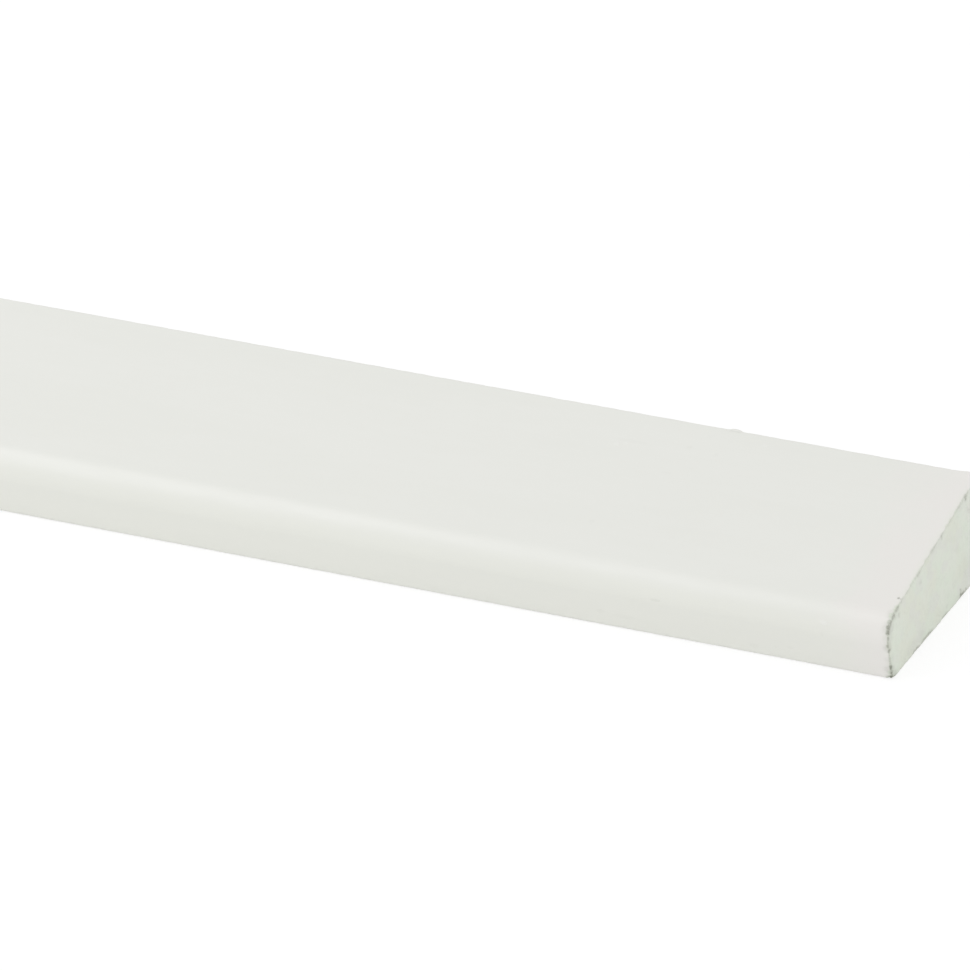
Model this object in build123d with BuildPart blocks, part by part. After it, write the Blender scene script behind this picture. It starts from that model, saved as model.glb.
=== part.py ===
from build123d import *

import os

# Sloped timber glazing bead, sawn to stock length. Millimetres, +Z up.
# The bead lies on its flat base along X. +Y is the side that goes against the glass.
# The origin is the middle of the base.

# Driving sizes of the moulding
LENGTH = 2400.0            # stock length between the two sawn ends
WIDTH = 35.0               # base, from the outer side to the glass side
GLASS_SIDE_HEIGHT = 17.0   # height of the side that bears on the glass
OUTER_SIDE_HEIGHT = 10.0   # height of the outer side, where the rain runs off
NOSE_RADIUS = 5.0          # round where the sloped top meets the outer side
EASED_RADIUS = 0.5         # sanded round on the other three long arrises

os.makedirs("parts", exist_ok=True)

# Corners of the section before rounding, as (across, up)
outer_foot = (-WIDTH / 2, 0)
glass_foot = (WIDTH / 2, 0)
glass_top = (WIDTH / 2, GLASS_SIDE_HEIGHT)
outer_top = (-WIDTH / 2, OUTER_SIDE_HEIGHT)

# One solid: the moulded section run along the whole length and cut square at both ends
with BuildPart() as glazing_bead:
    with BuildSketch(Plane.YZ) as section:
        with BuildLine():
            Polyline(outer_foot, glass_foot, glass_top, outer_top, close=True)
        make_face()

        # The nose is the upper corner of the outer side
        outer_corners = section.vertices().group_by(Axis.X)[0]
        fillet(outer_corners.sort_by(Axis.Y)[-1], radius=NOSE_RADIUS)

        # The two corners of the base and the high corner at the glass are only eased
        base_corners = section.vertices().group_by(Axis.Y)[0]
        glass_arris = section.vertices().sort_by(Axis.Y)[-1]
        fillet([*base_corners, glass_arris], radius=EASED_RADIUS)
    extrude(amount=LENGTH / 2, both=True)

glazing_bead.part.label = "glazing_bead"
export_step(glazing_bead.part, "parts/glazing_bead.step")
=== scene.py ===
"""A primed timber glazing bead with sawn ends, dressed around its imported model, in a plain white studio."""

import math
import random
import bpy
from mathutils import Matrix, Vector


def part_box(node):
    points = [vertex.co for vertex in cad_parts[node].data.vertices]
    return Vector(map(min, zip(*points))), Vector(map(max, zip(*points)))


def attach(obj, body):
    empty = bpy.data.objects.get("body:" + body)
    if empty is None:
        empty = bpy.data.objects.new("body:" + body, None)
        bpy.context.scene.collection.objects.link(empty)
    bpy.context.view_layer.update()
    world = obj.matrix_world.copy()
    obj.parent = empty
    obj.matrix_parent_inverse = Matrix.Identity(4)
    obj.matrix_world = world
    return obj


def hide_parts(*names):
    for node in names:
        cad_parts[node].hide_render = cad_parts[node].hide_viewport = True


bl_info = {
    "name": "Primed glazing bead",
    "version": (1, 0, 0),
    "blender": (4, 5, 0),
    "location": "3D View > Sidebar > Bead",
    "description": "Builds a primed glazing bead with rough sawn ends and the studio it lies in",
    "category": "Object",
}

import bmesh
import bpy
from bpy.props import FloatProperty, FloatVectorProperty, IntProperty, PointerProperty
from mathutils import Matrix, Vector, kdtree, noise

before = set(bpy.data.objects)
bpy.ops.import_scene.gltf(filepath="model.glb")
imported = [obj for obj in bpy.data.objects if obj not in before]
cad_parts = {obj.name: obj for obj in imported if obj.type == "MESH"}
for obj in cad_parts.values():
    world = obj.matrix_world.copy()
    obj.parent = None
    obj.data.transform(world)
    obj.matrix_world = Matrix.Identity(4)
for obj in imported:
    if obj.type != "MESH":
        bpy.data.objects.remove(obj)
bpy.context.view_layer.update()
NODE = "glazing_bead"
_, node_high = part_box(NODE)

MM = 0.001
HALF_LENGTH = node_high.x
HALF_WIDTH = node_high.y
PHOTO_WIDTH, PHOTO_HEIGHT = 970, 971
LONG_SIDE_OF_SENSOR = 36.0

# Anything nearer to the plane of a cut than this lies on it
ON_CUT = 1e-6

# Widths of the narrow rings just inside the outline of a cut, in millimetres
RINGS_ON_CUT = (0.06, 0.08, 0.10, 0.13)

# How deep the arris is torn for its width on the face and on the cut, and how fast that runs out
DEPTH_ON_FACE, DEPTH_ON_CUT, RUN_OUT = 0.42, 0.5, 0.7

# Lamps: direction from the part that the picture shows, distance and size in metres
OVERHEAD_KEY = ((-0.62, -0.30, 0.72), 0.75, 0.48)
FRONT_FILL = ((0.75, -0.60, 0.30), 2.6, 2.2)
SIDE_FILL = ((-0.20, -0.45, 0.035), 0.494, 0.08)
LIT_PART = (HALF_LENGTH - 0.08, 0, 0.01)

# Grey of the floor as it lights the bead, and its grey and glow as the camera sees it
FLOOR_GREY, SEEN_GREY, SEEN_GLOW = 0.86, 0.30, 0.74

# Each octave of fractal noise is half as strong and twice as fine as the one before it
OCTAVE_FADE, OCTAVE_STEP = 1.0, 2.0

# Length and width in millimetres of the waves in the planed faces, and how much longer than wide the
# knocks on an arris are
WAVE_LENGTH, WAVE_WIDTH, KNOCK_STRETCH = 35, 9, 2.2

# Faces that meet at less than this angle are shaded as one
SHARP_ANGLE = math.radians(38)

# Tears round the sawn end at +X: across, up, reach along the outline, width on the face, width on
# the cut, where they are darkest (in from the arris along the face, below 0 on the cut), and how
# dark, all in millimetres but the last. The darkness is bare torn wood and dirt together with painted
# shade in the torn gap, and painted shade under the bottom outer corner
TEARS = (
    (-13.3, 10.85, 1.2, 0.60, 0.60, -0.22, 0.34),
    (-14.8, 10.35, 1.0, 0.80, 0.75, -0.35, 0.38),
    (-15.8, 9.70, 0.8, 0.75, 0.50, 0.30, 0.48),
    (-16.4, 9.05, 0.8, 0.75, 0.60, 0.45, 0.50),
    (-16.8, 8.35, 0.7, 0.60, 0.50, 0.30, 0.54),
    (-17.2, 7.45, 0.7, 0.34, 0.50, 0.02, 0.40),
    (-17.45, 6.90, 0.5, 0.34, 0.50, 0.02, 0.36),
    (-17.5, 6.20, 0.6, 0.52, 0.50, 0.16, 0.42),
    (-17.5, 5.30, 0.45, 0.24, 0.60, 0.0, 0.80),
    (-17.5, 3.60, 1.6, 0.20, 0.40, 0.02, 0.28),
    (-17.5, 2.20, 0.7, 0.40, 0.60, -0.08, 0.85),
    (-17.4, 1.25, 0.8, 0.70, 0.70, -0.38, 0.62),
    (-17.2, 0.35, 0.8, 1.10, 0.70, -0.05, 1.0),
    (-9.0, 0.0, 2.0, 0.25, 0.55, -0.15, 0.22),
    (-5.0, 0.0, 3.2, 0.25, 0.60, -0.15, 0.30),
    (1.5, 0.0, 1.8, 0.25, 0.45, -0.10, 0.18),
    (7.6, 0.0, 1.6, 0.30, 0.60, -0.15, 0.45),
    (0.0, 13.2, 1.6, 0.30, 0.35, -0.05, 0.18),
    (3.2, 13.9, 0.6, 0.25, 0.45, -0.12, 0.28),
    (-5.4, 12.2, 1.2, 0.30, 0.50, -0.12, 0.20),
    (9.8, 15.3, 1.2, 0.25, 0.30, -0.05, 0.16),
    (12.3, 15.8, 0.7, 0.30, 0.45, -0.10, 0.45),
)

# Pits and soft dark patches by the same end: from the end, across, up, radius, depth and how dark,
# all in millimetres but the last. The darkness is dirt together with painted shade in the pits, round
# the torn outer arris and under the bottom outer corner
PITS = (
    (0.1, -16.2, 8.9, 1.3, 0.0, 0.15),
    (0.0, -16.9, 7.3, 1.1, 0.0, 0.11),
    (0.1, -17.2, 5.9, 1.0, 0.0, 0.15),
    (0.0, -17.1, 3.6, 1.1, 0.0, 0.08),
    (0.2, -17.3, 1.8, 1.1, 0.0, 0.17),
    (0.2, -14.6, 10.4, 1.1, 0.0, 0.11),
    (0.0, -17.3, 0.0, 1.0, 0.28, 0.0),
    (0.5, -17.4, 0.1, 0.9, 0.0, 0.22),
    (0.0, -16.5, 0.25, 1.0, 0.0, 0.20),
    (0.0, -10.4, 1.2, 1.8, 0.0, 0.035),
    (0.0, -6.6, 1.2, 1.6, 0.0, 0.04),
    (0.0, -0.4, 1.7, 0.9, 0.0, 0.03),
    (0.0, 5.5, 3.6, 0.8, 0.0, 0.05),
    (0.0, 9.4, 4.1, 2.2, 0.0, 0.035),
    (0.0, 7.9, 8.6, 0.9, 0.0, 0.045),
    (0.0, -5.0, 10.7, 0.45, 0.0, 0.08),
    (0.74, -11.25, 11.3, 0.24, 0.05, 0.62),
    (0.30, -11.35, 11.3, 0.20, 0.03, 0.34),
    (0.0, 12.25, 15.3, 0.32, 0.20, 0.60),
    (0.0, 3.3, 13.6, 0.30, 0.08, 0.22),
    (0.0, -5.1, 10.5, 0.35, 0.06, 0.16),
    (0.0, -13.0, 9.4, 0.50, 0.08, 0.22),
    (0.0, 7.25, 1.1, 0.38, 0.12, 0.38),
    (0.0, 7.2, 0.4, 0.34, 0.18, 0.50),
    (0.0, 5.8, 1.1, 0.22, 0.08, 0.25),
    (0.0, 9.0, 0.4, 0.35, 0.08, 0.30),
    (0.0, 12.6, 12.9, 0.35, 0.06, 0.18),
    (0.0, 14.4, 14.3, 0.40, 0.08, 0.22),
)

# Knocks and smears on the faces: from the same end, across, up, length, width, and how dark (below 0,
# how pale), all in millimetres but the last
KNOCKS = (
    (41.0, -17.44, 6.7, 2.0, 0.6, 0.07),
    (11.4, -16.95, 8.15, 1.6, 1.0, -0.5),
    (11.6, -17.5, 6.1, 0.7, 1.0, 0.03),
    (24.1, -17.5, 1.55, 2.0, 1.3, 0.03),
    (20.2, -17.5, 2.15, 0.7, 0.6, 0.03),
    (17.6, -17.5, 2.55, 1.3, 0.6, 0.03),
    (51.2, -17.5, 2.7, 1.5, 0.9, 0.035),
    (46.6, -17.5, 2.4, 5.2, 1.0, 0.025),
    (58.6, 11.0, 15.7, 7.5, 0.9, 0.02),
    (60.9, 9.9, 15.5, 1.1, 0.9, -0.4),
    (59.5, 10.5, 15.6, 0.9, 0.6, -0.25),
    (48.8, 11.9, 15.9, 1.0, 1.0, 0.03),
    (43.7, 11.4, 15.8, 0.9, 0.9, 0.03),
    (50.0, 5.7, 14.6, 2.4, 0.8, 0.02),
    (57.0, -7.15, 12.1, 1.3, 1.2, 0.02),
    (36.9, 15.0, 16.5, 1.1, 0.9, -0.3),
)


def in_millimetres(name, description, size, least=0.0):
    """A length that is given here in millimetres."""
    return FloatProperty(
        name=name, description=description, default=size * MM, min=least * MM, unit="LENGTH")


def tint(name, description, colour):
    """A colour in linear values."""
    return FloatVectorProperty(
        name=name, description=description, default=colour, subtype="COLOR", min=0, max=1)


class BeadSizes(bpy.types.PropertyGroup):
    """Sizes of the moulding and of the grid that it is modelled on."""

    glass_side_height: in_millimetres("Glass side height", "Height of the side that bears on the glass", 17)
    outer_side_height: in_millimetres("Outer side height", "Height of the outer side", 10)
    nose_radius: in_millimetres("Nose radius", "Round between the sloped top and the outer side", 5)
    eased_radius: in_millimetres("Eased radius", "Sanded round on the other long arrises", 0.5)
    grid: in_millimetres("Grid", "Distance between the points of the outline", 0.28, least=0.1)
    cut_grid: in_millimetres(
        "Grid of the cut", "Side of a cell in the middle of a sawn end", 0.45, least=0.1)
    first_ring: in_millimetres(
        "First ring", "Distance from a sawn end to the first ring of the walls", 0.12, least=0.05)
    ring_growth: FloatProperty(
        name="Ring growth", description="How much further apart each ring is than the one before it",
        default=1.15, min=1.01)
    longest_ring: in_millimetres("Longest ring", "Greatest distance between two rings", 60, least=1)


class SawnEndSizes(bpy.types.PropertyGroup):
    """How rough the two sawn ends are."""

    broken_edge: in_millimetres(
        "Broken edge", "Usual width of the arris that the saw broke and sealer softened", 0.19)
    torn_edge: in_millimetres("Torn edge", "Width of the torn arris on the outer side", 0.30)
    deepest_tear: in_millimetres("Deepest tear", "Greatest depth to which the arris is torn", 0.16)
    # How far the darkening of a tear, dirt and painted shade together, reaches past what broke away
    dirt_and_shade_reach: in_millimetres("Smudge", "How far the grime reaches past what broke away", 0.20)
    saw_marks: in_millimetres("Saw marks", "Depth of the marks left by the saw's teeth", 0.02)
    fine_reach: in_millimetres("Fine reach", "How far in from the cut the fine grid goes", 1.2)
    fibres: IntProperty(
        name="Fibres", description="Torn fibres left standing on each end", default=40, min=0)
    fibre_radius: in_millimetres("Fibre radius", "Radius of a torn fibre at its root", 0.03, least=0.01)
    fibre_length: in_millimetres("Fibre length", "Length of the longest torn fibre", 0.36)


class WearSizes(bpy.types.PropertyGroup):
    """How far the long arrises and faces depart from true."""

    arris_wear: in_millimetres("Arris wear", "Depth of the knocks along the long arrises", 0.07)
    waviness: in_millimetres("Waviness", "How far the planed faces wander from flat", 0.02)
    burr: in_millimetres("Burr", "Height of the burr on the glass arris at the sawn end", 0.20)
    nib: in_millimetres("Nib", "Height of the run of primer on the glass arris", 0.24)
    nib_place: in_millimetres("Nib place", "Distance of that run from the sawn end", 43)


class Finish(bpy.types.PropertyGroup):
    """Colours of the primer, the sealed end grain and the torn wood, in linear values."""

    primer: tint("Primer", "White primer on the planed faces", (0.800, 0.806, 0.764))
    thin_primer: tint("Thin primer", "Primer where the coat is thin", (0.772, 0.780, 0.730))
    thick_primer: tint("Thick primer", "Primer where a nib or a drip stands proud", (0.850, 0.855, 0.820))
    warm_primer: tint(
        "Warm primer", "Primer warmed by the wood's resin near a sawn end", (0.812, 0.796, 0.764))
    spilt_sealer: tint(
        "Spilt sealer", "Primer tinted by sealer that ran over the sawn arris", (0.793, 0.790, 0.741))
    outer_primer: tint("Outer primer", "Slightly yellower primer on the outer side", (0.800, 0.807, 0.750))
    sealer: tint("Sealer", "Sealed end grain", (0.801, 0.833, 0.751))
    grey_sealer: tint("Grey sealer", "Greyer patches of the sealed end grain", (0.780, 0.792, 0.738))
    green_sealer: tint("Green sealer", "Greener patches of the sealed end grain", (0.781, 0.834, 0.733))
    yellow_sealer: tint("Yellow sealer", "Yellower patches of the sealed end grain", (0.792, 0.814, 0.716))
    thin_sealer: tint("Thin sealer", "Sealed end grain where the coat is thin", (0.670, 0.690, 0.620))
    # The torn colour also paints the shade in the torn gaps and under the bottom outer corner, and the dust
    # specks
    torn: tint("Torn wood", "Bare fibres where the primer broke away", (0.165, 0.168, 0.118))


class Studio(bpy.types.PropertyGroup):
    """Camera and light of the plain white studio."""

    azimuth: FloatProperty(
        name="Azimuth", description="Camera's bearing round the bead, 0 looking along +Y",
        default=math.radians(32.03), subtype="ANGLE", unit="ROTATION")
    elevation: FloatProperty(
        name="Elevation", description="Camera's height above the horizon",
        default=math.radians(31.94), subtype="ANGLE", unit="ROTATION")
    roll: FloatProperty(
        name="Roll", description="How far the upright leans to the left in the picture",
        default=math.radians(7.87), subtype="ANGLE", unit="ROTATION")
    distance: FloatProperty(
        name="Distance", description="Depth from the camera to the near lower corner",
        default=1.969, min=0.1, unit="LENGTH")
    focal_pixels: FloatProperty(
        name="Focal length", description="Focal length in pixels of the picture",
        default=12623.0, min=1, subtype="PIXEL")
    corner_across: FloatProperty(
        name="Corner across", description="Where the near lower corner falls, from the picture's left",
        default=892.22, subtype="PIXEL")
    corner_down: FloatProperty(
        name="Corner down", description="Where the near lower corner falls, from the picture's top",
        default=680.16, subtype="PIXEL")
    world_light: FloatProperty(
        name="World light", description="Strength of the even light from all round", default=0.862, min=0)
    key_power: FloatProperty(
        name="Key power", description="Power of the soft light overhead", default=0.66, min=0, unit="POWER")
    fill_power: FloatProperty(
        name="Fill power", description="Power of the wide light in front", default=4.5, min=0, unit="POWER")
    side_power: FloatProperty(
        name="Side power", description="Power of the small low light beside the outer side",
        default=0.074, min=0, unit="POWER")
    floor_size: FloatProperty(
        name="Floor size", description="Side of the floor", default=160.0, min=1, unit="LENGTH")


def smooth_step(value, low, high):
    """0 below low, 1 above high, with a soft turn between."""
    share = min(1.0, max(0.0, (value - low) / (high - low)))
    return share * share * (3 - 2 * share)


def noise_share(point, scale, octaves=3):
    """Fractal noise from about 0 to 1 at a point, for features of about one over scale."""
    return 0.5 + 0.5 * noise.fractal(point * scale, OCTAVE_FADE, OCTAVE_STEP, octaves)


def is_wall(face):
    """Whether a face runs along the bead, and isn't part of a cut."""
    return abs(face.normal.x) < 0.5


# The bead's mesh


def corner_setback(radius, before, corner, after):
    """How far along its two sides a round of this radius begins, and the length of its arc."""
    angle = (Vector(before) - Vector(corner)).angle(Vector(after) - Vector(corner))
    return radius / math.tan(angle / 2), radius * (math.pi - angle)


def rounded_section(bm, sizes):
    """Draws the wedge at the end, rounds its corners and spaces points evenly between them."""
    across, up = HALF_WIDTH, sizes.glass_side_height
    corners = [(-across, 0), (across, 0), (across, up), (-across, sizes.outer_side_height)]
    radii = [sizes.eased_radius] * 3 + [sizes.nose_radius]
    verts = [bm.verts.new((HALF_LENGTH, y, z)) for y, z in corners]
    bm.faces.new(verts)
    for index, (vert, radius) in enumerate(zip(verts, radii)):
        setback, arc = corner_setback(radius, corners[index - 1], corners[index], corners[(index + 1) % 4])
        bmesh.ops.bevel(
            bm, geom=[vert], offset=setback, offset_type="OFFSET", segments=max(4, round(arc / sizes.grid)),
            profile=0.5, affect="VERTICES", material=-1)
    for edge in [edge for edge in bm.edges if edge.calc_length() > 1.5 * sizes.grid]:
        bmesh.ops.subdivide_edges(bm, edges=[edge], cuts=round(edge.calc_length() / sizes.grid) - 1)


def line_the_cut(bm, sizes):
    """Insets narrow rings round the cut and rules the rest of it into a grid."""
    inner = bm.faces[:]
    rings = set()
    for width in RINGS_ON_CUT:
        made = bmesh.ops.inset_region(
            bm, faces=inner, thickness=width * MM, use_boundary=True, use_even_offset=True)
        rings.update(made["faces"])
    spans = (
        (Vector((0, 1, 0)), -HALF_WIDTH, HALF_WIDTH),
        (Vector((0, 0, 1)), 0.0, sizes.glass_side_height))
    for normal, low, high in spans:
        for count in range(1, math.ceil((high - low) / sizes.cut_grid)):
            inside = [face for face in bm.faces if face not in rings]
            around = {edge for face in inside for edge in face.edges}
            corners = {vert for face in inside for vert in face.verts}
            bmesh.ops.bisect_plane(
                bm, geom=[*corners, *around, *inside], dist=0.02 * MM,
                plane_co=normal * (low + count * sizes.cut_grid), plane_no=normal)


def ring_steps(sizes):
    """Distances between the rings, from the sawn end to the middle of the bead."""
    steps, step, reached = [], sizes.first_ring, 0.0
    room_for_last = 1.3
    while reached + room_for_last * step < HALF_LENGTH:
        steps.append(step)
        reached += step
        step = min(step * sizes.ring_growth, sizes.longest_ring)
    steps.append(HALF_LENGTH - reached)
    return steps


def draw_out(bm, steps):
    """Extrudes the outline of the end along the bead, ring by ring."""
    outline = [edge for edge in bm.edges if edge.is_boundary]
    for step in steps:
        made = bmesh.ops.extrude_edge_only(bm, edges=outline)["geom"]
        bmesh.ops.translate(
            bm, vec=(-step, 0, 0), verts=[item for item in made if isinstance(item, bmesh.types.BMVert)])
        outline = [item for item in made if isinstance(item, bmesh.types.BMEdge) and item.is_boundary]


def refine_lengthwise(bm, spacing):
    """Splits the edges that run along the bead where spacing(middle) asks for shorter ones."""
    shortest, most_cuts = 0.3 * MM, 120
    by_cuts = {}
    for edge in bm.edges:
        run = edge.verts[0].co - edge.verts[1].co
        if abs(run.x) > 0.9 * run.length and abs(run.x) > shortest:
            wanted = spacing((edge.verts[0].co + edge.verts[1].co) / 2)
            cuts = min(most_cuts, math.ceil(abs(run.x) / wanted) - 1) if wanted else 0
            if cuts > 0:
                by_cuts.setdefault(cuts, []).append(edge)
    for cuts in sorted(by_cuts):
        bmesh.ops.subdivide_edges(bm, edges=by_cuts[cuts], cuts=cuts)


def arris_spacing(middle):
    """Fine steps along the three eased arrises near a sawn end, longer ones further in."""
    arris, finest, fine_run, slowness = 0.8 * MM, 0.4 * MM, 180 * MM, 30
    near_side = min(abs(middle.y - HALF_WIDTH), abs(middle.y + HALF_WIDTH)) < arris
    low = middle.z < arris
    high = middle.z > node_high.z - arris
    if near_side and (low or high):
        from_end = HALF_LENGTH - abs(middle.x)
        return max(finest, (from_end - fine_run) / slowness)
    return None


def refine_sawn_end(bm, rough):
    """Halves the cells close to the sawn arris."""
    small = (0.2 * MM) ** 2
    near = [
        face for face in bm.faces
        if HALF_LENGTH - face.calc_center_median().x < rough.fine_reach and is_wall(face)]
    near += [
        face for face in bm.faces
        if face.normal.x > 0.5 and len(face.verts) == 4 and face.calc_area() < small]
    edges = {edge for face in near for edge in face.edges}
    bmesh.ops.subdivide_edges(bm, edges=list(edges), cuts=1, use_grid_fill=True)


def rim_of_cut(bm, end):
    """The points round a sawn end, each with the outward normal of the walls that meet there."""
    rim = []
    for vert in bm.verts:
        if abs(vert.co.x - end) < ON_CUT:
            walls = [face.normal for face in vert.link_faces if is_wall(face)]
            if walls:
                rim.append((vert, sum(walls, Vector()).normalized()))
    return rim


def search_tree(places):
    """A tree that finds the nearest of some places."""
    tree = kdtree.KDTree(len(places))
    for index, place in enumerate(places):
        tree.insert(place, index)
    tree.balance()
    return tree


def tear(place, side, rough):
    """How the arris is torn at a place on the outline of a cut.

    Returns the widths torn from the face and from the cut, where the tear is darkest and how dark. The
    darkness is bare wood and dirt in the tear and painted shade in its gap.
    """
    point = Vector((side * 7.3, place.y / MM, place.z / MM))
    outer = 1 - smooth_step(place.y, -HALF_WIDTH + 2.0 * MM, -HALF_WIDTH + 5.0 * MM)
    roughly = 0.3 + 1.4 * smooth_step(noise_share(point, 0.9, 4), 0.2, 0.8)
    torn_out = outer * smooth_step(noise_share(point, 0.8, 3), 0.45, 0.70) if side < 0 else 0.0
    # Random patches of darker arris: dirt and painted shade together
    dirt_and_shade = smooth_step(noise_share(point, 1.7, 3), 0.4, 0.8)
    on_face = rough.broken_edge * roughly + rough.torn_edge * torn_out
    on_cut = rough.broken_edge * roughly
    darkest, dark = 0.0, 0.04 + 0.09 * dirt_and_shade + 0.5 * torn_out
    if side > 0:
        for across, up, reach, face_width, cut_width, core, how_dark in TEARS:
            gap = math.hypot(point.y - across, point.z - up) / reach
            share = 1 - smooth_step(gap, 0.25, 1.0)
            on_face = max(on_face, face_width * MM * share * (0.8 + 0.4 * noise_share(point, 2.5)))
            on_cut = max(on_cut, cut_width * MM * share * (0.8 + 0.4 * noise_share(point, 2.9)))
            if how_dark * share > dark:
                dark = how_dark * share
                darkest = core * MM
    return on_face, on_cut, darkest, dark


def darkness(place, on_face, on_cut, darkest):
    """Share of a tear's darkness at a distance in from the arris, below 0 on the cut."""
    least = 0.12 * MM
    if place > darkest:
        return 1 - smooth_step(place, darkest, max(on_face, darkest + least))
    return 1 - smooth_step(-place, -darkest, max(on_cut, least - darkest))


def wear_sawn_ends(bm, rough):
    """Breaks the arris round both cuts and marks them, and writes for the materials what broke and how dark
    each place is painted: bare wood and dirt with painted shade in the torn gap.
    """
    broken = bm.verts.layers.float.new("broken")
    bare_and_shaded_layer = bm.verts.layers.float.new("bare_and_shaded")
    bm.verts.layers.float.new("pitted")
    for vert in bm.verts:
        vert[broken] = -1.0
    bm.normal_update()
    worn_reach = 2.5 * MM
    for side in (-1, 1):
        end = side * HALF_LENGTH
        into_wood = Vector((-side, 0, 0))
        rim = rim_of_cut(bm, end)
        tree = search_tree([vert.co for vert, _ in rim])
        torn = [tear(vert.co, side, rough) for vert, _ in rim]
        moves = []
        for vert in bm.verts:
            along = abs(vert.co.x - end)
            if along > worn_reach:
                continue
            _, index, inward = tree.find(Vector((end, vert.co.y, vert.co.z)))
            on_face, on_cut, darkest, dark = torn[index]
            outward = rim[index][1]
            grit = 0.75 + 0.5 * noise_share(vert.co / MM, 3.1)
            on_wall = along > ON_CUT or inward < ON_CUT
            move = Vector()
            if on_wall:
                share = 1 - along / on_face
                vert[broken] = (on_face - along) / MM
                if share > 0:
                    depth = min(DEPTH_ON_FACE * on_face, rough.deepest_tear)
                    move -= outward * (depth * share ** RUN_OUT * grit)
            if along < ON_CUT:
                share = 1 - inward / on_cut
                if inward > ON_CUT:
                    vert[broken] = (on_cut - inward) / MM
                marks = rough.saw_marks * saw_mark(vert.co, side)
                move += into_wood * (marks * smooth_step(inward, 0, 0.6 * MM))
                if share > 0:
                    depth = min(DEPTH_ON_CUT * on_cut, rough.deepest_tear)
                    move += into_wood * (depth * share ** RUN_OUT * grit)
            reached = along if on_wall else -inward
            # How dark the place is painted: bare wood and dirt with painted shade in the torn gap
            soft = darkness(reached, on_face + rough.dirt_and_shade_reach, on_cut + 2 * rough.dirt_and_shade_reach, darkest)
            vert[bare_and_shaded_layer] = dark * soft
            moves.append((vert, move))
        for vert, move in moves:
            vert.co += move


def pit_the_end(bm):
    """Presses the small pits into the cut and the faces beside it, and writes how dark each pit and patch is
    painted: dirt and painted shade.
    """
    pitted = bm.verts.layers.float["pitted"]
    reach_in_radii = 1.6
    for from_end, across, up, radius, depth, bare_and_shaded in PITS:
        middle = Vector((HALF_LENGTH - from_end * MM, across * MM, up * MM))
        for vert in bm.verts:
            gap = (vert.co - middle).length / (radius * MM)
            if gap < reach_in_radii:
                vert[pitted] = max(vert[pitted], bare_and_shaded * (1 - smooth_step(gap, 0.5, 1.25)))
                vert.co -= vert.normal * (depth * MM * (1 - smooth_step(gap, 0.0, 1.1)))


def saw_mark(place, side):
    """Depth of the cut from 0 to 1: wide arcs of a circular saw, broken up by the grain."""
    point = place / MM
    saw_hub = Vector((0, side * 42.0, -95.0))
    from_hub = (Vector((0, point.y, point.z)) - saw_hub).length
    grain = noise.noise(Vector((side * 3.1, point.y * 0.3, point.z * 0.3)))
    radians_per_mm, wobble = 5.2, 1.4
    arcs = 0.5 + 0.5 * math.sin(from_hub * radians_per_mm + wobble * grain)
    return 0.55 * arcs + 0.45 * noise_share(Vector((side * 5.0, point.y, point.z)), 1.7, 4)


def length_wear(place, normal, worn):
    """How far the wall at a place stands out of true."""
    point = place / MM
    wave = Vector((point.x / WAVE_LENGTH, point.y / WAVE_WIDTH, point.z / WAVE_WIDTH))
    shift = worn.waviness * noise.fractal(wave, OCTAVE_FADE, OCTAVE_STEP, 2)
    turned = min(abs(normal.y), abs(normal.z))
    arris = smooth_step(turned, 0.25, 0.6) if place.y > 0 or place.z < 2 * MM else 0.0
    knocked = noise_share(Vector((point.x / KNOCK_STRETCH, point.y, point.z)), 1.0, 4)
    shift -= worn.arris_wear * arris * smooth_step(knocked, 0.45, 0.8)
    by_glass_arris = place.y > 14 * MM and place.z > 12 * MM
    if place.x > 0 and by_glass_arris:
        from_end = HALF_LENGTH - place.x
        edge = smooth_step(place.y, 15.5 * MM, 17.2 * MM)
        shift += worn.burr * edge * (1 - smooth_step(from_end, 1.5 * MM, 4.5 * MM))
        off_nib = abs(from_end - worn.nib_place) / MM
        on_arris = smooth_step(place.y, 16.7 * MM, 17.2 * MM)
        shift += worn.nib * on_arris * (1 - smooth_step(off_nib, 0.4, 1.5))
    return shift


def wear_length(bm, worn):
    """Knocks along the long arrises, faint waves in the faces, and the burr and run of primer at +X."""
    bm.normal_update()
    rim = rim_of_cut(bm, HALF_LENGTH)
    tree = search_tree([Vector((0, vert.co.y, vert.co.z)) for vert, _ in rim])
    normals = [normal for _, normal in rim]
    for vert in bm.verts:
        nearest, index, inward = tree.find(Vector((0, vert.co.y, vert.co.z)))
        if inward < MM:
            place = Vector((vert.co.x, nearest.y, nearest.z))
            shift = length_wear(place, normals[index], worn) * (1 - smooth_step(inward, 0, MM))
            vert.co += normals[index] * shift
            vert.co.z = max(vert.co.z, 0.0)


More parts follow.
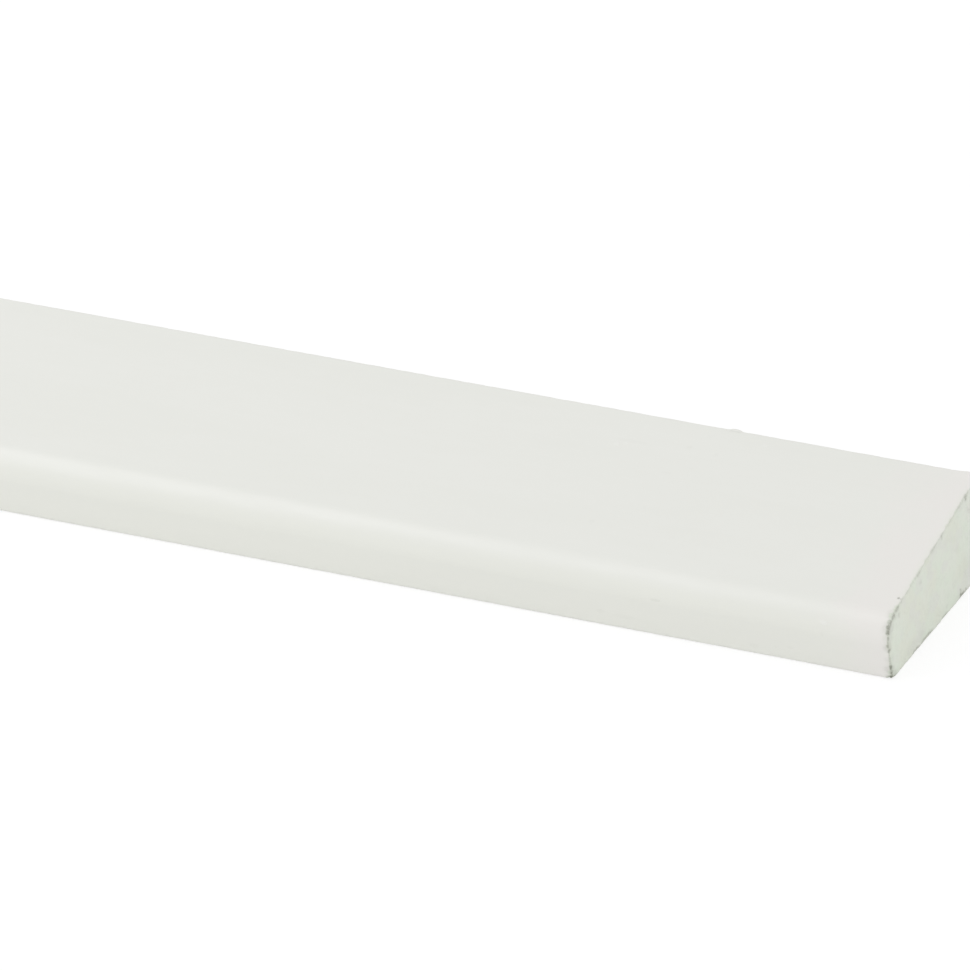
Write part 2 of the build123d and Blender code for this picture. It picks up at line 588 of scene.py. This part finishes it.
def stand_fibres(bm, rough):
    """Leaves short torn fibres on the outer arris of both sawn ends."""
    chance = random.Random(11)
    broken = bm.verts.layers.float["broken"]
    bare_and_shaded_layer = bm.verts.layers.float["bare_and_shaded"]
    from_cut, outer_part = 0.8 * MM, -12 * MM
    least_broken, least_bare_and_shaded = 0.02, 0.4
    for side in (-1, 1):
        end = side * HALF_LENGTH
        roots = [
            vert.co.copy() for vert in bm.verts
            if abs(vert.co.x - end) < from_cut and vert.co.y < outer_part
            and vert[broken] > least_broken and vert[bare_and_shaded_layer] > least_bare_and_shaded]
        for _ in range(rough.fibres if roots else 0):
            root = chance.choice(roots)
            length = rough.fibre_length * (0.3 + 0.7 * chance.random() ** 2)
            lean = Vector((
                side * chance.uniform(-0.2, 0.8), chance.uniform(-0.5, 0.3), chance.uniform(-1.0, 0.4)))
            turn = lean.to_track_quat("Z", "Y").to_matrix().to_4x4()
            made = bmesh.ops.create_cone(
                bm, cap_ends=True, segments=5, radius1=rough.fibre_radius * chance.uniform(0.6, 1.2),
                radius2=rough.fibre_radius * 0.25, depth=length,
                matrix=Matrix.Translation(root) @ turn @ Matrix.Translation((0, 0, length * 0.3)))
            for vert in made["verts"]:
                vert[broken] = 0.1
                vert[bare_and_shaded_layer] = 0.8
                vert.co.z = max(vert.co.z, 0.02 * MM)
                vert.co.y = max(vert.co.y, -HALF_WIDTH - 0.12 * MM)


def bead_mesh(sizes, rough, worn):
    """The whole bead, with a fine grid at its ends and long cells between."""
    bm = bmesh.new()
    rounded_section(bm, sizes)
    line_the_cut(bm, sizes)
    for face in bm.faces:
        face.material_index = 1
    draw_out(bm, ring_steps(sizes))
    bm.normal_update()
    for face in bm.faces:
        if is_wall(face):
            face.material_index = 0
    bmesh.ops.recalc_face_normals(bm, faces=bm.faces[:])
    if sum(face.normal.x * face.calc_area() for face in bm.faces) < 0:
        bmesh.ops.reverse_faces(bm, faces=bm.faces[:])
    bm.normal_update()
    refine_lengthwise(bm, arris_spacing)
    refine_sawn_end(bm, rough)
    bmesh.ops.mirror(bm, geom=bm.verts[:] + bm.edges[:] + bm.faces[:], axis="X", merge_dist=0.01 * MM)
    bmesh.ops.recalc_face_normals(bm, faces=bm.faces[:])
    wear_length(bm, worn)
    wear_sawn_ends(bm, rough)
    pit_the_end(bm)
    stand_fibres(bm, rough)
    mesh = bpy.data.meshes.new("primed_bead")
    bm.to_mesh(mesh)
    bm.free()
    return mesh


# Shader nodes


def feed(tree, socket, value):
    """Links a socket to another node's output, or sets it."""
    if isinstance(value, bpy.types.NodeSocket):
        tree.links.new(value, socket)
    else:
        socket.default_value = value


def add(tree, kind, *values, settings=None, **named):
    """Adds a node, sets or links its inputs in order and by name, and returns it."""
    made = tree.nodes.new("ShaderNode" + kind)
    for key, value in (settings or {}).items():
        setattr(made, key, value)
    for key, value in (*enumerate(values), *named.items()):
        feed(tree, made.inputs[key], value)
    return made


def math_node(tree, operation, *values, clamp=False):
    """The result of one sum."""
    return add(tree, "Math", *values, settings={"operation": operation, "use_clamp": clamp}).outputs[0]


def vector_node(tree, operation, *values):
    """The result of one sum with places."""
    return add(tree, "VectorMath", *values, settings={"operation": operation}).outputs[0]


def noise_node(tree, place, scale, detail, roughness):
    """Fractal noise, with its scale per metre."""
    made = add(tree, "TexNoise", Vector=place, Scale=scale, Detail=detail, Roughness=roughness)
    return made.outputs["Fac"]


def ramp(tree, value, low, high, start=0.0, end=1.0):
    """Maps low to high onto start to end, softly, and holds it outside."""
    made = add(
        tree, "MapRange", value, low, high, start, end,
        settings={"interpolation_type": "SMOOTHSTEP", "clamp": True})
    return made.outputs[0]


def mix(tree, share, first, second):
    """Mixes two colours by a share. Each is another node's output or three linear values."""
    made = tree.nodes.new("ShaderNodeMix")
    made.data_type = "RGBA"
    feed(tree, made.inputs[0], share)
    for socket, colour in ((made.inputs[6], first), (made.inputs[7], second)):
        feed(tree, socket, colour if isinstance(colour, bpy.types.NodeSocket) else (*colour, 1.0))
    return made.outputs[2]


def share_of(tree, mask, most):
    """A mask made fainter, up to the most that it may be."""
    return math_node(tree, "MULTIPLY", mask, most)


def soft_share(tree, mask, most, start=0.0):
    """The part of a mask above a start, with soft turns, up to the most that it may be."""
    return ramp(tree, mask, start, 1.0, 0.0, most)


def layered(tree, coat, *layers):
    """Lays colours over a coat in turn, each by its mask."""
    for mask, colour in layers:
        coat = mix(tree, mask, coat, colour)
    return coat


def add_relief(tree, shader, *parts):
    """Bumps a surface by masks, each with its height in millimetres."""
    height = 0.0
    for mask, rise in parts:
        height = math_node(tree, "ADD", height, math_node(tree, "MULTIPLY", mask, rise))
    bump = add(tree, "Bump", Strength=1.0, Distance=MM, Height=height)
    feed(tree, shader.inputs["Normal"], bump.outputs["Normal"])


def start_group(name, inputs, outputs):
    """A new node group that is given a place and the named inputs, each with its default.

    An input without a default is a vector. The outputs are masks and values. Returns the group, what
    it is given and what it puts out.
    """
    group = bpy.data.node_groups.new(name, "ShaderNodeTree")
    for label, default in {"Place": None, **inputs}.items():
        kind = "NodeSocketVector" if default is None else "NodeSocketFloat"
        socket = group.interface.new_socket(label, in_out="INPUT", socket_type=kind)
        if default is not None:
            socket.default_value = default
    for label in outputs:
        group.interface.new_socket(label, in_out="OUTPUT", socket_type="NodeSocketFloat")
    return group, group.nodes.new("NodeGroupInput").outputs, group.nodes.new("NodeGroupOutput").inputs


def use_group(tree, group, place, **named):
    """Puts a group in a material with its own values, and returns its outputs."""
    made = tree.nodes.new("ShaderNodeGroup")
    made.node_tree = group
    for key, value in {"Place": place, **named}.items():
        feed(tree, made.inputs[key], value)
    return made.outputs


def per_metre(group, millimetres):
    """The scale that makes features of a size in millimetres."""
    return math_node(group, "DIVIDE", 1.0 / MM, millimetres)


def scaled_place(group, place, along, across):
    """A place with its measure along the bead multiplied, and those across it."""
    return vector_node(group, "MULTIPLY", place, add(group, "CombineXYZ", along, across, across).outputs[0])


def mottle_group():
    """Soft patches of a given size in millimetres, drawn out along the bead."""
    group, given, result = start_group("Soft mottling", {"Size": 5.0, "Stretch": 3.0}, ["Mask"])
    across = per_metre(group, given["Size"])
    along = math_node(group, "DIVIDE", across, given["Stretch"])
    place = scaled_place(group, given["Place"], along, across)
    patches = noise_node(group, place, scale=1.0, detail=3.0, roughness=0.5)
    feed(group, result["Mask"], ramp(group, patches, 0.32, 0.68))
    return group


def grain_group():
    """Fine grain that runs along the bead and shows through the coat, with its sizes in millimetres."""
    inputs = {"Width": 0.5, "Length": 30.0}
    group, given, result = start_group("Lengthwise grain", inputs, ["Height", "Pores"])
    along, across = per_metre(group, given["Length"]), per_metre(group, given["Width"])
    place = scaled_place(group, given["Place"], along, across)
    pores = add(group, "TexVoronoi", Vector=place, Scale=1.6, Randomness=1.0).outputs["Distance"]
    feed(group, result["Height"], noise_node(group, place, scale=1.0, detail=4.0, roughness=0.6))
    feed(group, result["Pores"], ramp(group, pores, 0.10, 0.24, start=1.0, end=0.0))
    return group


def speck_group():
    """Sparse round specks, of a spacing and radius in millimetres."""
    group, given, result = start_group("Specks", {"Spacing": 12.0, "Radius": 0.3, "Share": 0.45}, ["Mask"])
    scale = per_metre(group, given["Spacing"])
    cells = add(group, "TexVoronoi", Vector=given["Place"], Scale=scale, Randomness=1.0).outputs
    lot = add(group, "SeparateColor", cells["Color"]).outputs
    size = math_node(group, "DIVIDE", given["Radius"], given["Spacing"])
    size = math_node(group, "MULTIPLY", size, math_node(group, "ADD", 0.4, lot[1]))
    speck = ramp(group, cells["Distance"], 0.0, size, start=1.0, end=0.0)
    kept = math_node(group, "LESS_THAN", lot[0], given["Share"])
    feed(group, result["Mask"], math_node(group, "MULTIPLY", speck, kept))
    return group


def near_end_group():
    """1 at a sawn end, fading over a reach in millimetres, with a ragged border."""
    inputs = {"Reach": 5.0, "Ragged": 0.5, "Size": 3.0}
    group, given, result = start_group("Near a sawn end", inputs, ["Mask"])
    along = math_node(group, "ABSOLUTE", add(group, "SeparateXYZ", given["Place"]).outputs["X"])
    gap = math_node(group, "MULTIPLY", math_node(group, "SUBTRACT", HALF_LENGTH, along), 1 / MM)
    shift = noise_node(
        group, given["Place"], scale=per_metre(group, given["Size"]), detail=4.0, roughness=0.6)
    shift = math_node(group, "SUBTRACT", shift, 0.5)
    for factor in (given["Ragged"], given["Reach"]):
        shift = math_node(group, "MULTIPLY", shift, factor)
    gap = math_node(group, "ADD", gap, shift)
    feed(group, result["Mask"], ramp(group, gap, 0.0, given["Reach"], start=1.0, end=0.0))
    return group


def sawn_edge_group():
    """How a sawn arris shows: dark torn fibres with painted shade in the torn gaps, and sealer over the whole
    of what broke away.
    """
    inputs = {"Broken": -1.0, "Bare_and_shaded": 0.0, "Pitted": 0.0, "Ragged": 0.10}
    group, given, result = start_group("Sawn edge", inputs, ["Dark", "Sealed", "Height"])
    fuzz = noise_node(group, given["Place"], scale=5200.0, detail=4.0, roughness=0.65)
    clumps = noise_node(group, given["Place"], scale=1500.0, detail=2.0, roughness=0.5)
    shift = math_node(group, "SUBTRACT", math_node(group, "ADD", fuzz, clumps), 1.0)
    shift = math_node(group, "MULTIPLY", shift, math_node(group, "MULTIPLY", given["Ragged"], 3.0))
    inside = ramp(group, math_node(group, "ADD", given["Broken"], shift), 0.0, 0.10)
    most = math_node(group, "MAXIMUM", given["Bare_and_shaded"], given["Pitted"])
    in_clumps = ramp(group, clumps, 0.32, 0.62, start=0.65, end=1.15)
    in_fuzz = ramp(group, fuzz, 0.30, 0.66, start=0.75, end=1.2)
    patchy = math_node(group, "MULTIPLY", in_clumps, in_fuzz)
    loose = math_node(group, "ADD", math_node(group, "MULTIPLY", inside, 0.2), most)
    feed(group, result["Dark"], math_node(group, "MULTIPLY", most, patchy, clamp=True))
    feed(group, result["Sealed"], inside)
    feed(group, result["Height"], math_node(group, "MULTIPLY", loose, fuzz))
    return group


def knock_group():
    """One soft ragged spot about a place, with its own half lengths."""
    group, given, result = start_group("Knock", {"Middle": None, "Size": None}, ["Mask"])
    off = vector_node(group, "SUBTRACT", given["Place"], given["Middle"])
    off = vector_node(group, "DIVIDE", off, given["Size"])
    gap = add(group, "VectorMath", off, settings={"operation": "LENGTH"}).outputs["Value"]
    ragged = noise_node(group, given["Place"], scale=1800.0, detail=2.0, roughness=0.5)
    gap = math_node(group, "ADD", gap, math_node(group, "SUBTRACT", ragged, 0.5))
    feed(group, result["Mask"], ramp(group, gap, 0.35, 1.15, start=1.0, end=0.0))
    return group


def knocks(tree, groups, place):
    """How dark and how pale the knocks and smears make each place, as two masks."""
    dark, pale = 0.0, 0.0
    for from_end, across, up, length, width, strength in KNOCKS:
        middle = (HALF_LENGTH - from_end * MM, across * MM, up * MM)
        size = (length / 2 * MM, width / 2 * MM, width / 2 * MM)
        spot = use_group(tree, groups["knock"], place, Middle=middle, Size=size)["Mask"]
        spot = share_of(tree, spot, abs(strength))
        if strength > 0:
            dark = math_node(tree, "MAXIMUM", dark, spot)
        else:
            pale = math_node(tree, "MAXIMUM", pale, spot)
    return dark, pale


def start_material(name):
    """A material with only its shader. Returns it, its tree, the shader and the place on the bead."""
    material = bpy.data.materials.new(name)
    material.use_nodes = True
    tree = material.node_tree
    shader = tree.nodes["Principled BSDF"]
    place = add(tree, "TexCoord").outputs["Object"]
    return material, tree, shader, place


def worn_edge(tree, groups, place, ragged):
    """The sawn-edge group fed with what the mesh says broke away, and how dark it is painted with bare wood,
    dirt and shade.
    """
    given = {
        name: add(tree, "Attribute", settings={"attribute_name": name.lower()}).outputs["Fac"]
        for name in ("Broken", "Bare_and_shaded", "Pitted")}
    return use_group(tree, groups["sawn_edge"], place, Ragged=ragged, **given)


def sealer_colour(tree, groups, place, finish):
    """Cloudy patches of sealer over end grain, and the mask of the smallest of them."""
    beside = vector_node(tree, "ADD", place, (0.013, 0.021, 0.034))
    beyond = vector_node(tree, "ADD", place, (0.027, 0.009, 0.018))
    clouds = use_group(tree, groups["mottle"], place, Size=4.6, Stretch=1.0)["Mask"]
    yellow = use_group(tree, groups["mottle"], beside, Size=5.2, Stretch=1.0)["Mask"]
    grey = use_group(tree, groups["mottle"], beyond, Size=3.2, Stretch=1.0)["Mask"]
    small = use_group(tree, groups["mottle"], place, Size=0.9, Stretch=1.0)["Mask"]
    colour = layered(
        tree, finish.sealer,
        (clouds, finish.green_sealer),
        (soft_share(tree, yellow, 0.75, start=0.3), finish.yellow_sealer),
        (soft_share(tree, grey, 0.6, start=0.5), finish.grey_sealer),
        (soft_share(tree, small, 0.14, start=0.55), finish.thin_sealer))
    return colour, small


def primer_material(groups, finish):
    """White primer over planed timber: faint patches, grain, dust nibs and a torn sawn arris with painted
    shade along it.
    """
    material, tree, shader, place = start_material("white_primer")
    patches = use_group(tree, groups["mottle"], place, Size=9.0, Stretch=4.0)["Mask"]
    fine = use_group(tree, groups["mottle"], place, Size=1.6, Stretch=6.0)["Mask"]
    grain = use_group(tree, groups["grain"], place, Width=0.45, Length=22.0)
    nibs = use_group(tree, groups["specks"], place, Spacing=9.0, Radius=0.25, Share=0.45)["Mask"]
    dust = use_group(tree, groups["specks"], place, Spacing=4.0, Radius=0.10, Share=0.35)["Mask"]
    warm = use_group(tree, groups["near_end"], place, Reach=16.0, Ragged=1.6, Size=7.0)["Mask"]
    spilt = use_group(tree, groups["near_end"], place, Reach=1.6, Ragged=1.4, Size=2.5)["Mask"]
    across = add(tree, "SeparateXYZ", place).outputs["Y"]
    outer = ramp(tree, across, -17.3 * MM, -15.5 * MM, start=1.0, end=0.0)
    orange_peel = noise_node(tree, place, scale=850.0, detail=1.0, roughness=0.4)
    edge = worn_edge(tree, groups, place, 0.10)
    dark, pale = knocks(tree, groups, place)
    sealer, _ = sealer_colour(tree, groups, place, finish)

    coat = layered(
        tree, finish.primer,
        (outer, finish.outer_primer),
        (soft_share(tree, patches, 0.24), finish.thin_primer),
        (soft_share(tree, fine, 0.10), finish.thin_primer),
        (warm, finish.warm_primer),
        (spilt, finish.spilt_sealer),
        (share_of(tree, grain["Pores"], 0.10), finish.thin_primer),
        (share_of(tree, dust, 0.16), finish.torn),
        (dark, finish.torn),
        (pale, finish.thick_primer),
        (edge["Sealed"], sealer),
        # Dark torn fibres with painted shade in the torn gaps
        (edge["Dark"], finish.torn))
    feed(tree, shader.inputs["Base Color"], coat)

    shader.inputs["Specular IOR Level"].default_value = 1.0
    gloss = ramp(tree, fine, 0, 1, start=0.35, end=0.41)
    worn = share_of(tree, math_node(tree, "MAXIMUM", edge["Dark"], edge["Sealed"]), 0.4)
    feed(tree, shader.inputs["Roughness"], math_node(tree, "ADD", gloss, worn))
    add_relief(
        tree, shader, (grain["Height"], 0.007), (orange_peel, 0.006), (grain["Pores"], -0.004), (nibs, 0.03),
        (edge["Height"], 0.10), (dark, -0.20), (pale, 0.08))
    return material


def sealed_material(groups, finish):
    """Sealed end grain: cloudy patches, filled pores and a torn rim darkened with bare wood and painted
    shade.
    """
    material, tree, shader, place = start_material("sealed_end_grain")
    sealer, small = sealer_colour(tree, groups, place, finish)
    pores = use_group(tree, groups["specks"], place, Spacing=0.7, Radius=0.16, Share=0.6)["Mask"]
    smudges = use_group(tree, groups["specks"], place, Spacing=3.1, Radius=0.55, Share=0.5)["Mask"]
    fuzz = noise_node(tree, place, scale=2600.0, detail=4.0, roughness=0.6)
    edge = worn_edge(tree, groups, place, 0.08)
    colour = layered(
        tree, sealer,
        (share_of(tree, pores, 0.14), finish.thin_sealer),
        (share_of(tree, smudges, 0.40), finish.thin_sealer),
        # The torn rim on the cut made darker: thinner sealer and painted shade
        (share_of(tree, edge["Sealed"], 0.5), finish.thin_sealer),
        # Dark torn fibres with painted shade in the torn gaps
        (edge["Dark"], finish.torn))
    feed(tree, shader.inputs["Base Color"], colour)
    shader.inputs["Roughness"].default_value = 0.80
    add_relief(tree, shader, (small, 0.02), (pores, -0.02), (fuzz, 0.024), (edge["Height"], 0.08))
    return material


# Operators


class BEAD_OT_mould(bpy.types.Operator):
    """Model the bead with its sawn ends, prime it and lay it in its place"""

    bl_idname = "bead.mould"
    bl_label = "Mould the bead"

    def execute(self, context):
        scene = context.scene
        groups = {
            "mottle": mottle_group(), "grain": grain_group(), "specks": speck_group(),
            "near_end": near_end_group(), "sawn_edge": sawn_edge_group(), "knock": knock_group()}
        mesh = bead_mesh(scene.bead_sizes, scene.sawn_ends, scene.bead_wear)
        mesh.materials.append(primer_material(groups, scene.bead_finish))
        mesh.materials.append(sealed_material(groups, scene.bead_finish))
        mesh.shade_smooth()
        mesh.set_sharp_from_angle(angle=SHARP_ANGLE)
        bead = bpy.data.objects.new("primed_bead", mesh)
        scene.collection.objects.link(bead)
        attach(bead, "root")
        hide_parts(NODE)
        return {"FINISHED"}


class BEAD_OT_stage(bpy.types.Operator):
    """Lay the floor, hang the lights and set the camera"""

    bl_idname = "bead.stage"
    bl_label = "Set the studio"

    def execute(self, context):
        studio = context.scene.bead_studio
        lay_floor(context.scene, studio)
        light_world(context.scene, studio)
        hang_light(context.scene, "overhead_key", studio.key_power, *OVERHEAD_KEY)
        hang_light(context.scene, "front_fill", studio.fill_power, *FRONT_FILL)
        side = hang_light(context.scene, "side_fill", studio.side_power, *SIDE_FILL)
        side.visible_glossy = False
        set_camera(context.scene, studio)
        context.scene.view_settings.view_transform = "Standard"
        return {"FINISHED"}


def seen_directly(tree):
    """1 for rays that show the white background: from the camera, in gloss and through glass."""
    path = add(tree, "LightPath")
    seen = math_node(tree, "MAXIMUM", path.outputs["Is Camera Ray"], path.outputs["Is Glossy Ray"])
    return math_node(tree, "MAXIMUM", seen, path.outputs["Is Transmission Ray"])


def grey(level):
    """A grey with its alpha, white at a level of 1."""
    return (level, level, level, 1.0)


def lay_floor(scene, studio):
    """A wide white floor that keeps a faint shadow and reads as white to the camera."""
    bm = bmesh.new()
    bmesh.ops.create_grid(bm, x_segments=1, y_segments=1, size=studio.floor_size / 2)
    mesh = bpy.data.meshes.new("studio_floor")
    bm.to_mesh(mesh)
    bm.free()
    floor = bpy.data.objects.new("studio_floor", mesh)
    scene.collection.objects.link(floor)

    material = bpy.data.materials.new("white_floor")
    material.use_nodes = True
    tree = material.node_tree
    tree.nodes.remove(tree.nodes["Principled BSDF"])
    plain = add(tree, "BsdfDiffuse", Color=grey(FLOOR_GREY)).outputs[0]
    faint = add(tree, "BsdfDiffuse", Color=grey(SEEN_GREY)).outputs[0]
    glow = add(tree, "Emission", Color=grey(1.0), Strength=SEEN_GLOW).outputs[0]
    white = add(tree, "AddShader", faint, glow).outputs[0]
    surface = add(tree, "MixShader", seen_directly(tree), plain, white).outputs[0]
    tree.links.new(surface, tree.nodes["Material Output"].inputs["Surface"])
    mesh.materials.append(material)


def light_world(scene, studio):
    """Even light from all round, white where it is seen."""
    world = bpy.data.worlds.new("white_studio")
    world.use_nodes = True
    tree = world.node_tree
    strength = add(tree, "MapRange", seen_directly(tree), 0.0, 1.0, studio.world_light, 1.0).outputs[0]
    tree.links.new(strength, tree.nodes["Background"].inputs["Strength"])
    tree.nodes["Background"].inputs["Color"].default_value = grey(1.0)
    scene.world = world


def hang_light(scene, name, power, towards, distance, size):
    """A square soft light at a distance from the part of the bead that the picture shows."""
    light = bpy.data.lights.new(name, "AREA")
    light.shape = "SQUARE"
    light.size = size
    light.energy = power
    lamp = bpy.data.objects.new(name, light)
    towards = Vector(towards).normalized()
    lamp.location = Vector(LIT_PART) + towards * distance
    lamp.rotation_mode = "QUATERNION"
    lamp.rotation_quaternion = towards.to_track_quat("Z", "Y")
    lamp.visible_camera = False
    scene.collection.objects.link(lamp)
    return lamp


def set_camera(scene, studio):
    """Looks at the near end as the picture does, with the near lower corner at its place in it."""
    a, e, r = studio.azimuth, studio.elevation, studio.roll
    right = Vector((math.cos(a), math.sin(a), 0))
    up = Vector((-math.sin(e) * math.sin(a), math.sin(e) * math.cos(a), math.cos(e)))
    back = Vector((math.sin(a) * math.cos(e), -math.cos(a) * math.cos(e), math.sin(e)))
    leaning_right = right * math.cos(r) - up * math.sin(r)
    leaning_up = right * math.sin(r) + up * math.cos(r)
    across = (studio.corner_across - PHOTO_WIDTH / 2) / studio.focal_pixels
    rise = (PHOTO_HEIGHT / 2 - studio.corner_down) / studio.focal_pixels
    corner = Vector((HALF_LENGTH, -HALF_WIDTH, 0))
    sight = leaning_right * across + leaning_up * rise - back

    data = bpy.data.cameras.new("picture_camera")
    data.sensor_width = LONG_SIDE_OF_SENSOR
    data.lens = studio.focal_pixels / max(PHOTO_WIDTH, PHOTO_HEIGHT) * LONG_SIDE_OF_SENSOR
    data.clip_start, data.clip_end = 0.05, 500.0
    camera = bpy.data.objects.new("picture_camera", data)
    axes = Matrix((leaning_right, leaning_up, back)).transposed()
    camera.matrix_world = Matrix.Translation(corner - sight * studio.distance) @ axes.to_4x4()
    scene.collection.objects.link(camera)
    scene.camera = camera


class BEAD_PT_tools(bpy.types.Panel):
    """Sizes, finishes and steps of the glazing bead"""

    bl_idname = "BEAD_PT_tools"
    bl_label = "Glazing bead"
    bl_space_type = "VIEW_3D"
    bl_region_type = "UI"
    bl_category = "Bead"

    def draw(self, context):
        scene = context.scene
        for name in GROUPS:
            group = getattr(scene, name)
            box = self.layout.box()
            for value in group.bl_rna.properties.keys():
                if value not in {"rna_type", "name"}:
                    box.prop(group, value)
        for step in STEPS:
            self.layout.operator(step.bl_idname)


STEPS = (BEAD_OT_mould, BEAD_OT_stage)
GROUPS = {
    "bead_sizes": BeadSizes, "sawn_ends": SawnEndSizes, "bead_wear": WearSizes, "bead_finish": Finish,
    "bead_studio": Studio}
CLASSES = (*GROUPS.values(), *STEPS, BEAD_PT_tools)


def register():
    for entry in CLASSES:
        bpy.utils.register_class(entry)
    for name, group in GROUPS.items():
        setattr(bpy.types.Scene, name, PointerProperty(type=group))


def unregister():
    for name in GROUPS:
        delattr(bpy.types.Scene, name)
    for entry in reversed(CLASSES):
        bpy.utils.unregister_class(entry)


def main():
    register()
    bpy.ops.bead.mould()
    bpy.ops.bead.stage()


if __name__ == "__main__":
    main()
